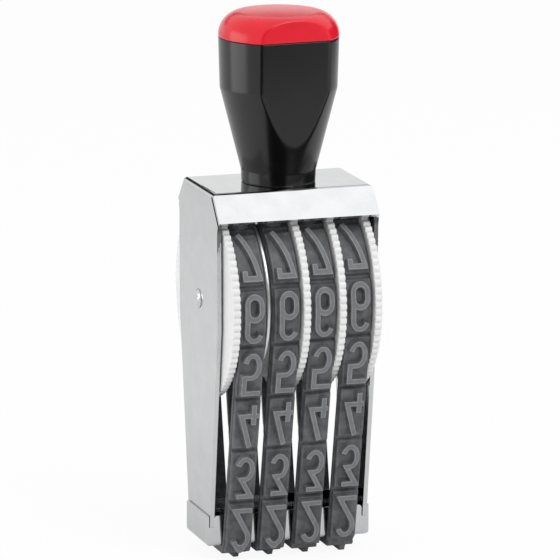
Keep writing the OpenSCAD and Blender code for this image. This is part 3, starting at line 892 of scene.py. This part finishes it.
@dataclass(frozen=True)
class Lettering:
    """The mirrored figures: upright strokes of even width with square ends."""

    height: float = 15.0
    width: float = 6.5
    stroke: float = 1.7

    @property
    def x(self) -> float:
        """Half the width of a character's centre line."""
        return (self.width - self.stroke) / 2

    @property
    def y(self) -> float:
        """Half the height of a character's centre line."""
        return (self.height - self.stroke) / 2

    def oval(self, cy: float, x: float, y: float) -> list[list[Point]]:
        """A closed oval as two strokes that overlap.

        Args:
            cy: The centre's height.
            x: Half its width.
            y: Half its height.

        Returns:
            The two centre lines.
        """
        right = arc_points((0, cy - y + x), x, x, 265, 360) + arc_points((0, cy + y - x), x, x, 0, 95)
        return [right, [(-px, py) for px, py in right]]

    def bow(self, start: Point, toward: Point, end: Point) -> list[Point]:
        """A bowed line from start to end that leans towards a point.

        Args:
            start: The first point.
            toward: The point that the line leans towards.
            end: The last point.

        Returns:
            The line's points.
        """
        parts = [(1 - t, t) for t in np.linspace(0, 1, 8).tolist()]
        return [(u * u * start[0] + 2 * u * t * toward[0] + t * t * end[0],
                 u * u * start[1] + 2 * u * t * toward[1] + t * t * end[1]) for u, t in parts]

    def lines(self, character: str) -> list[list[Point]]:
        """The centre lines of a character's strokes.

        Args:
            character: A figure or a sign; a blank has no strokes.

        Returns:
            Each stroke as a list of points.
        """
        x, y, end = self.x, self.y, self.stroke / 2
        h = self.height
        stem, low = self.width * 0.12, h * 0.245
        two, three, five, six, hook = h * 0.22, h * 0.24, h * 0.26, h * 0.223, h * 0.2
        bar, foot = -h * 0.245, x * 0.72
        shapes: dict[str, list[list[Point]]] = {
            "0": self.oval(0, x, y),
            "1": [[(stem, y + end), (stem, -y - end)],
                  [(stem, y), (-x * 0.75, y - x * 0.9)]],
            "2": [arc_points((0, y - two), x, two, 160, -35) + [(-x, -y), (x + end, -y)]],
            "3": [[(-x, y), (x * 0.95, y), (-x * 0.45, 2 * three - y)]
                  + arc_points((0, three - y), x, three, 95, -160)],
            "4": [[(x * 0.3, y + end), (-x, bar), (x + end, bar)],
                  [(foot, -h * 0.03), (foot, -y - end)]],
            "5": [[(x + end, y), (-x, y), (-x, 2 * five - y)]
                  + arc_points((0, five - y), x, five, 90, -160)],
            "6": self.oval(six - y, x, six)
            + [[(-x, six - y)] + arc_points((0, y - hook), x, hook, 180, 20)],
            "7": [self.bow((-x, -y - end), (x * 0.55, -h * 0.04), (x, y))
                  + [(-x, y), (-x, y - self.stroke * 1.4)]],
            "8": self.oval(low - y, x, low) + self.oval(low, x * 0.9, y - low),
            ".": [[(0, -y - end), (0, -y + self.stroke)]],
            ",": [[(x / 8, -y + self.stroke), (-x / 5, -y - self.stroke)]],
            "-": [[(-x, 0), (x, 0)]],
            "/": [[(-x, -y), (x, y)]],
        }
        shapes["9"] = [[(-px, -py) for px, py in line] for line in shapes["6"]]
        return shapes.get(character, [])

    def ribbon(self, line: Sequence[Point]) -> np.ndarray:
        """The outline of a stroke with mitred corners and square ends.

        Args:
            line: The stroke's centre line.

        Returns:
            The outline's points.
        """
        points = np.array(line, float)
        steps = np.diff(points, axis=0)
        steps /= np.linalg.norm(steps, axis=1)[:, None]
        before = np.vstack([steps[:1], steps])
        after = np.vstack([steps, steps[-1:]])
        middle = before + after
        middle /= np.linalg.norm(middle, axis=1)[:, None]
        reach = self.stroke / 2 / np.maximum(0.4, (middle * before).sum(1))
        side = np.stack([-middle[:, 1], middle[:, 0]], 1) * reach[:, None]
        return np.vstack([points + side, (points - side)[::-1]])

    def distance(self, character: str, places: np.ndarray) -> np.ndarray:
        """Distance of places from a character's printing face, negative inside it.

        Args:
            character: The figure or sign.
            places: Points as an array of n x 2.

        Returns:
            The distances in millimetres, or FAR for a blank.
        """
        nearest = np.full(len(places), FAR)
        for line in self.lines(character):
            nearest = np.minimum(nearest, outline_distance(self.ribbon(line), places))
        return nearest


def outline_distance(outline: np.ndarray, places: np.ndarray) -> np.ndarray:
    """Signed distance of places from a closed outline, negative inside.

    Args:
        outline: The outline's corners.
        places: Points as an array of n x 2.

    Returns:
        The distances.
    """
    best = np.full(len(places), 1e9)
    inside = np.zeros(len(places), bool)
    for a, b in zip(outline, np.roll(outline, -1, axis=0)):
        edge = b - a
        length = float(edge @ edge)
        if length < 1e-12:
            continue
        t = np.clip(((places - a) @ edge) / length, 0, 1)
        best = np.minimum(best, np.linalg.norm(places - a - t[:, None] * edge, axis=1))
        crosses = (a[1] > places[:, 1]) != (b[1] > places[:, 1])
        rise = edge[1] if abs(edge[1]) > 1e-12 else 1e-12
        left = places[:, 0] < a[0] + (places[:, 1] - a[1]) * edge[0] / rise
        inside ^= crosses & left
    return np.where(inside, -best, best)


# ---------------------------------------------------------------- number bands


@dataclass
class BandPath:
    """The closed path of a band: round its drum and down round the foot tray."""

    axle_z: float
    tray_z: float
    half_tray: float
    tray_r: float = 1.5
    drum_r: float = 27.2
    belt_gap: float = 0.1
    neutral: float = 0.7
    corner_r: float = field(init=False)
    corner_y: float = field(init=False)
    corner_z: float = field(init=False)
    lean: float = field(init=False)
    run: float = field(init=False)
    marks: list[float] = field(init=False)

    def __post_init__(self) -> None:
        """Works out the straight runs, and where each stretch of the path ends."""
        self.corner_r = self.tray_r + self.belt_gap
        self.corner_y = self.half_tray - self.tray_r
        self.corner_z = self.tray_z + self.tray_r
        rise = self.axle_z - self.corner_z
        span = math.hypot(self.corner_y, rise)
        fall = self.drum_r - self.corner_r
        self.lean = math.asin(fall / span) - math.atan(self.corner_y / rise)
        self.run = math.sqrt(span * span - fall * fall)
        corner = (self.corner_r + self.neutral) * (math.pi / 2 - self.lean)
        drum = (self.drum_r + self.neutral) * (math.pi / 2 + self.lean)
        first = self.corner_y
        self.marks = [first, first + corner, first + corner + self.run,
                      first + corner + self.run + drum]

    @property
    def half(self) -> float:
        """Half the path's length along the neutral layer."""
        return self.marks[-1]

    def place(self, x: np.ndarray, s: np.ndarray, off: np.ndarray) -> np.ndarray:
        """Bends flat band coordinates round the path.

        Args:
            x: Places across the band.
            s: Places along it, from the foot's middle up the back.
            off: Heights above the belt's inner face.

        Returns:
            Points in millimetres.
        """
        s = (s + self.half) % (2 * self.half) - self.half
        sign = np.where(s < 0, -1.0, 1.0)
        t = np.abs(s)
        m0, m1, m2, _ = self.marks
        turn = -math.pi / 2 + (t - m0) / (self.corner_r + self.neutral)
        angle = np.where(t < m0, -math.pi / 2, np.where(t < m1, turn, -self.lean))
        climb = -self.lean + (t - m2) / (self.drum_r + self.neutral)
        angle = np.where(t > m2, climb, angle)
        along = np.clip(t - m1, 0, self.run)
        y = np.where(t < m0, t, self.corner_y + self.corner_r * np.cos(angle)
                     + along * math.sin(self.lean))
        z = self.corner_z + self.corner_r * np.sin(angle) + along * math.cos(self.lean)
        y = np.where(t > m2, self.drum_r * np.cos(angle), y)
        z = np.where(t > m2, self.axle_z + self.drum_r * np.sin(angle), z)
        y = y + off * np.cos(angle)
        z = z + off * np.sin(angle)
        return np.stack([np.broadcast_to(x, t.shape), sign * y, z], -1)


@dataclass
class NumberBand:
    """An endless rubber band with a block and a raised figure at every position."""

    node: str
    shift: float
    characters: str = "123456789.-/, 0"
    belt_t: float = 1.4
    block_h: float = 1.6
    type_h: float = 1.7
    block_inset: float = 0.4
    bevel: float = 0.22
    shoulder: float = 0.42
    crown: float = 0.12
    dish: float = 0.16
    rim: float = 0.45
    groove_foot: float = 0.35
    groove_mouth: float = 1.0
    groove_depth: float = 1.35
    cell: float = 0.22
    # Width of the painted highlight, a paler band along each figure's edge.
    highlight_edge_w: float = 0.32
    crown_share: float = 0.04
    belt_edge: float = 0.15
    block_foot: float = 0.06
    bevel_share: float = 0.35
    slack: float = 0.04
    snap_reach: float = 0.52
    probe: float = 0.02
    least_slope: float = 0.5
    inner_columns: int = 4
    sharp_deg: float = 42.0
    lettering: Lettering = field(default_factory=Lettering)

    def top_height(self, x: np.ndarray, s: np.ndarray, half_w: float,
                   pitch: float) -> tuple[np.ndarray, np.ndarray, np.ndarray, np.ndarray]:
        """Height of the band's upper face over a flat grid, with its points drawn to the edges.

        Args:
            x: Places across the band, rows x columns.
            s: Places along it.
            half_w: Half the width of a block's upper face.
            pitch: Distance between two characters.

        Returns:
            The moved x and s, the height above the belt's inner face, and how far each
            point lies outside the nearest printing face.
        """
        shape = x.shape
        x, s = x.ravel().copy(), s.ravel().copy()
        index = np.round(-(s + self.shift) / pitch).astype(int)
        raised = np.zeros(len(x))
        outside = np.full(len(x), FAR)
        for i in sorted(set(index.tolist())):
            character = self.characters[i % len(self.characters)]
            pick = np.where(index == i)[0]
            centre = -self.shift - i * pitch
            local = np.stack([x[pick], s[pick] - centre], 1)
            gap = self.lettering.distance(character, local)
            # Draws the grid onto the inner line of the painted edge highlight, the face's edge and the
            # shoulder's foot.
            for level in (-self.highlight_edge_w, 0.0, self.shoulder):
                local, gap = self.snap(character, local, gap, level)
            x[pick], s[pick] = local[:, 0], local[:, 1] + centre
            raised[pick] = self.relief(gap)
            outside[pick] = gap
        block = self.block_height(x, s, half_w, pitch)
        height = self.belt_t + block + raised * (self.block_h + self.type_h - block)
        return x.reshape(shape), s.reshape(shape), height.reshape(shape), outside.reshape(shape)

    def snap(self, character: str, local: np.ndarray, gap: np.ndarray,
             level: float) -> tuple[np.ndarray, np.ndarray]:
        """Moves grid points that lie near an edge line onto it.

        Args:
            character: The figure.
            local: Points of the grid.
            gap: Their distances from the figure.
            level: The distance at which the edge line lies.

        Returns:
            The moved points and their distances.
        """
        near = np.where(np.abs(gap - level) < self.snap_reach * self.cell)[0]
        if not len(near):
            return local, gap
        here = local[near]
        slope = np.stack([self.lettering.distance(character, here + np.array(d))
                          - self.lettering.distance(character, here - np.array(d))
                          for d in ((self.probe, 0.0), (0.0, self.probe))], 1) / (2 * self.probe)
        size = np.maximum(np.linalg.norm(slope, axis=1), self.least_slope)[:, None]
        local[near] = here + (level - gap[near])[:, None] * slope / size ** 2
        gap[near] = self.lettering.distance(character, local[near])
        return local, gap

    def relief(self, gap: np.ndarray) -> np.ndarray:
        """Relief of a character by distance from its face.

        Args:
            gap: The distances, negative inside the face.

        Returns:
            1 on top, 0 at its foot.
        """
        fall = np.clip(1 - gap / self.shoulder, 0, 1)
        edge = np.clip(-gap / self.crown, 0, 1)
        return fall * (1 - self.crown_share) + self.crown_share * edge

    def block_height(self, x: np.ndarray, s: np.ndarray, half_w: float,
                     pitch: float) -> np.ndarray:
        """Height of the blocks above the belt: a dished face with a rim, and the grooves.

        Args:
            x: Places across the band.
            s: Places along it.
            half_w: Half the width of a block's upper face.
            pitch: Distance between two characters.

        Returns:
            The heights.
        """
        from_groove = np.abs((s + self.shift + pitch / 2) % pitch)
        from_groove = np.minimum(from_groove, pitch - from_groove)
        wall = np.clip((from_groove - self.groove_foot) / (self.groove_mouth - self.groove_foot), 0, 1)
        wall = wall * wall * (3 - 2 * wall)
        inward = np.minimum(half_w - np.abs(x), from_groove - self.groove_mouth)
        sunk = np.clip((inward - self.rim) / self.rim, 0, 1)
        sunk = sunk * sunk * (3 - 2 * sunk)
        return self.block_h - self.groove_depth * (1 - wall) - self.dish * sunk * wall

    def build(self, path: BandPath) -> None:
        """Builds the band and puts it on the stamp's body.

        Args:
            path: The path that it runs on.
        """
        low, high = node_mm(self.node)
        middle, half_belt = (low.x + high.x) / 2, (high.x - low.x) / 2
        half_block = half_belt - self.block_inset
        half_top = half_block - self.bevel
        pitch = 2 * path.half / len(self.characters)
        rows = round(2 * path.half / self.cell)
        s = -self.shift - pitch / 2 + np.arange(rows) * 2 * path.half / rows
        across = np.linspace(-half_top, half_top, round(2 * half_top / self.cell) + 1)
        gx, gs = np.meshgrid(across, s)
        top_x, top_s, top_h, outside = self.top_height(gx, gs, half_top, pitch)
        edge_h = self.belt_t + self.block_height(np.full(rows, half_top), s, half_top, pitch)
        flat, e, bevel = np.ones(rows), self.belt_edge, self.bevel
        part = bevel * self.bevel_share
        side = [(half_belt - e, 0.0 * flat), (half_belt, e * flat),
                (half_belt, (self.belt_t - e) * flat), (half_belt - e, self.belt_t * flat),
                (half_block + self.block_foot, np.minimum(self.belt_t, edge_h - bevel)),
                (half_block, edge_h - bevel), (half_block - part, edge_h - part)]
        columns = [(np.full(rows, -x), s, height) for x, height in side]
        columns += [(top_x[:, i], top_s[:, i], top_h[:, i]) for i in range(len(across))]
        columns += [(np.full(rows, x), s, height) for x, height in reversed(side)]
        columns += [(np.full(rows, x), s, 0.0 * flat)
                    for x in np.linspace(half_belt - e, -half_belt + e, self.inner_columns + 2)[1:-1]]
        points = np.stack([path.place(x + middle, along, height) for x, along, height in columns], 1)
        made = lattice(self.node + "_rubber", points * MM, GREY_RUBBER,
                       wrap_rows=True, wrap_columns=True)
        self.finish_faces(made, outside, len(columns), len(side))
        tidy(made, self.sharp_deg)
        stand_for(made, self.node, STAMP_BODY)

    def finish_faces(self, made: bpy.types.Object, outside: np.ndarray, width: int,
                     first: int) -> None:
        """Gives the printing faces, and the painted highlight along their edges, their own finishes.

        Args:
            made: The band's object.
            outside: For each point of the upper face, its distance from a printing face.
            width: Columns in the whole cross-section.
            first: Column at which the upper face starts.
        """
        # The figures' tops get a lighter grey than the moulded rubber.
        made.data.materials.append(LIGHTER_TOP_RUBBER.material())
        # The figures' edges get a paler grey: a painted highlight.
        made.data.materials.append(EDGE_HIGHLIGHT_RUBBER.material())
        slots = np.zeros((outside.shape[0], width), np.int32)
        for slot, level in ((2, 0.0), (1, -self.highlight_edge_w)):
            whole = np.zeros((outside.shape[0], width), bool)
            whole[:, first:first + outside.shape[1]] = outside < level + self.slack
            right, below = np.roll(whole, -1, 1), np.roll(whole, -1, 0)
            slots[whole & right & below & np.roll(right, -1, 0)] = slot
        made.data.polygons.foreach_set("material_index", slots.ravel())


# ---------------------------------------------------------------- studio


@dataclass
class Studio:
    """A pale floor under soft light, and the camera."""

    azimuth: float = 17.99
    elevation: float = 12.15
    roll: float = 0.14
    distance: float = 1.8
    focal_px: float = 5490.0
    frame_px: float = 560.0
    aim_x: float = 0.65
    aim_z: float = 90.2
    floor_size: float = 8.0
    sky: float = 0.75
    floor_drop: float = 0.00002

    def camera(self) -> None:
        """Adds the camera at the viewing angle."""
        a, e, r = (math.radians(v) for v in (self.azimuth, self.elevation, self.roll))
        back = Vector((-math.sin(a) * math.cos(e), -math.cos(a) * math.cos(e), math.sin(e)))
        right = Vector((math.cos(a), -math.sin(a), 0))
        up = back.cross(right)
        turned_right = right * math.cos(r) + up * math.sin(r)
        turned_up = up * math.cos(r) - right * math.sin(r)
        data = bpy.data.cameras.new("camera")
        data.sensor_width = 36.0
        data.lens = self.focal_px / self.frame_px * data.sensor_width
        data.clip_end = 20.0
        made = bpy.data.objects.new("camera", data)
        basis = Matrix((turned_right, turned_up, back)).transposed().to_4x4()
        place = Vector((self.aim_x, 0, self.aim_z)) * MM + back * self.distance
        made.matrix_world = Matrix.Translation(place) @ basis
        bpy.context.scene.collection.objects.link(made)
        bpy.context.scene.camera = made

    def world(self) -> None:
        """Adds the soft surroundings, plain white where the camera and the mirrors see them."""
        world = bpy.data.worlds.new("studio")
        tree = empty_tree(world)
        lit = add_node(tree, "ShaderNodeBackground",
                       {"Color": (1.0, 1.0, 1.0, 1.0), "Strength": self.sky})
        rays = add_node(tree, "ShaderNodeLightPath")
        seen = rays.outputs["Is Camera Ray"]
        for kind in ("Is Glossy Ray", "Is Transmission Ray"):
            seen = add_node(tree, "ShaderNodeMath", None, {0: seen, 1: rays.outputs[kind]},
                            operation="MAXIMUM").outputs[0]
        white = add_node(tree, "ShaderNodeBackground", {"Color": (1, 1, 1, 1), "Strength": 1.0})
        mix = add_node(tree, "ShaderNodeMixShader", None,
                       {0: seen, 1: lit.outputs[0], 2: white.outputs[0]})
        add_node(tree, "ShaderNodeOutputWorld", None, {"Surface": mix.outputs[0]})
        bpy.context.scene.world = world

    def floor(self) -> None:
        """Adds the pale floor under the lowest characters."""
        half = self.floor_size / 2
        corners = [(-half, -half, 0), (half, -half, 0), (half, half, 0), (-half, half, 0)]
        made = new_object("floor", corners, [(0, 1, 2, 3)], FloorPaper())
        made.location.z = -self.floor_drop

    def lamp(self, name: str, place: Sequence[float], size: float, watts: float) -> None:
        """Adds a soft lamp that is aimed at the stamp.

        Args:
            name: The lamp's name.
            place: Where it stands, in metres.
            size: The width of its square panel.
            watts: Its power.
        """
        data = bpy.data.lights.new(name, "AREA")
        data.size = size
        data.energy = watts
        made = bpy.data.objects.new(name, data)
        at = Vector(place)
        aim = Vector((0, 0, self.aim_z * MM)) - at
        made.matrix_world = Matrix.Translation(at) @ aim.to_track_quat("-Z", "Y").to_matrix().to_4x4()
        bpy.context.scene.collection.objects.link(made)

    def flag(self, name: str, corners: Sequence[Sequence[float]]) -> None:
        """Adds a black cloth panel that only polished surfaces see.

        Args:
            name: The panel's name.
            corners: Its four corners, in metres.
        """
        made = new_object(name, corners, [(0, 1, 2, 3)], BLACK_ABS)
        made.visible_camera = False
        made.visible_diffuse = False
        made.visible_transmission = False
        made.visible_shadow = False

    def upright_flag(self, name: str, bearing: float, distance: float, heights: Point,
                     width: float) -> None:
        """Adds a flag that stands upright round the stamp.

        Args:
            name: The panel's name.
            bearing: Its direction from the stamp, in degrees from -Y towards -X.
            distance: Its distance from the stamp, in metres.
            heights: Heights of its lower and upper edge.
            width: Its width.
        """
        a = math.radians(bearing)
        out = Vector((-math.sin(a), -math.cos(a), 0)) * distance
        across = Vector((math.cos(a), -math.sin(a), 0)) * width / 2
        low, high = (Vector((0, 0, z)) for z in heights)
        self.flag(name, (out + low - across, out + low + across,
                         out + high + across, out + high - across))

    def build(self) -> None:
        """Builds the floor, the light, the black panels and the camera."""
        self.world()
        self.floor()
        self.lamp("overhead_softbox", place=(0.42, -0.5, 1.25), size=1.4, watts=3.5)
        self.lamp("key_softbox", place=(0.55, -1.2, 1.4), size=0.6, watts=6.5)
        self.lamp("left_strip", place=(-0.59, 0.12, 0.16), size=0.45, watts=1.05)
        self.upright_flag("camera_side_flag", bearing=self.azimuth, distance=0.4,
                          heights=(0.0, 0.6), width=0.36)
        self.upright_flag("far_flag", bearing=self.azimuth + 180, distance=0.8,
                          heights=(0.365, 0.51), width=1.4)
        self.upright_flag("right_flag", bearing=self.azimuth + 240, distance=0.6,
                          heights=(0.055, 0.34), width=0.9)
        self.upright_flag("front_flag", bearing=self.azimuth - 36, distance=0.4,
                          heights=(0.065, 0.125), width=0.15)
        self.flag("low_flag", ((-0.035, -0.035, 0.1), (0.13, -0.035, 0.1),
                               (0.19, -0.1, 0.1), (-0.1, -0.1, 0.1)))
        self.camera()
        bpy.context.scene.view_settings.view_transform = "Standard"


# ---------------------------------------------------------------- all of it


def main() -> None:
    """Builds the stamp around its frame, piece by piece."""
    logging.basicConfig(level=logging.INFO, format="%(message)s")
    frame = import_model()
    Studio().build()
    SheetMetal().build()
    Handle().build()
    AxleParts().build()
    for i in range(1, 5):
        IndexWheel(f"wheel_{i}", f"wheel_{i}", rim_left=i == 1).build()
    axle = node_mm("axle")
    tray = node_mm("foot_tray")
    path = BandPath(axle_z=(axle[0].z + axle[1].z) / 2, tray_z=tray[0].z, half_tray=tray[1].y)
    for i, shift in enumerate(BAND_SHIFTS, start=1):
        NumberBand(f"band_{i}", shift).build(path)


if __name__ == "__main__":
    main()
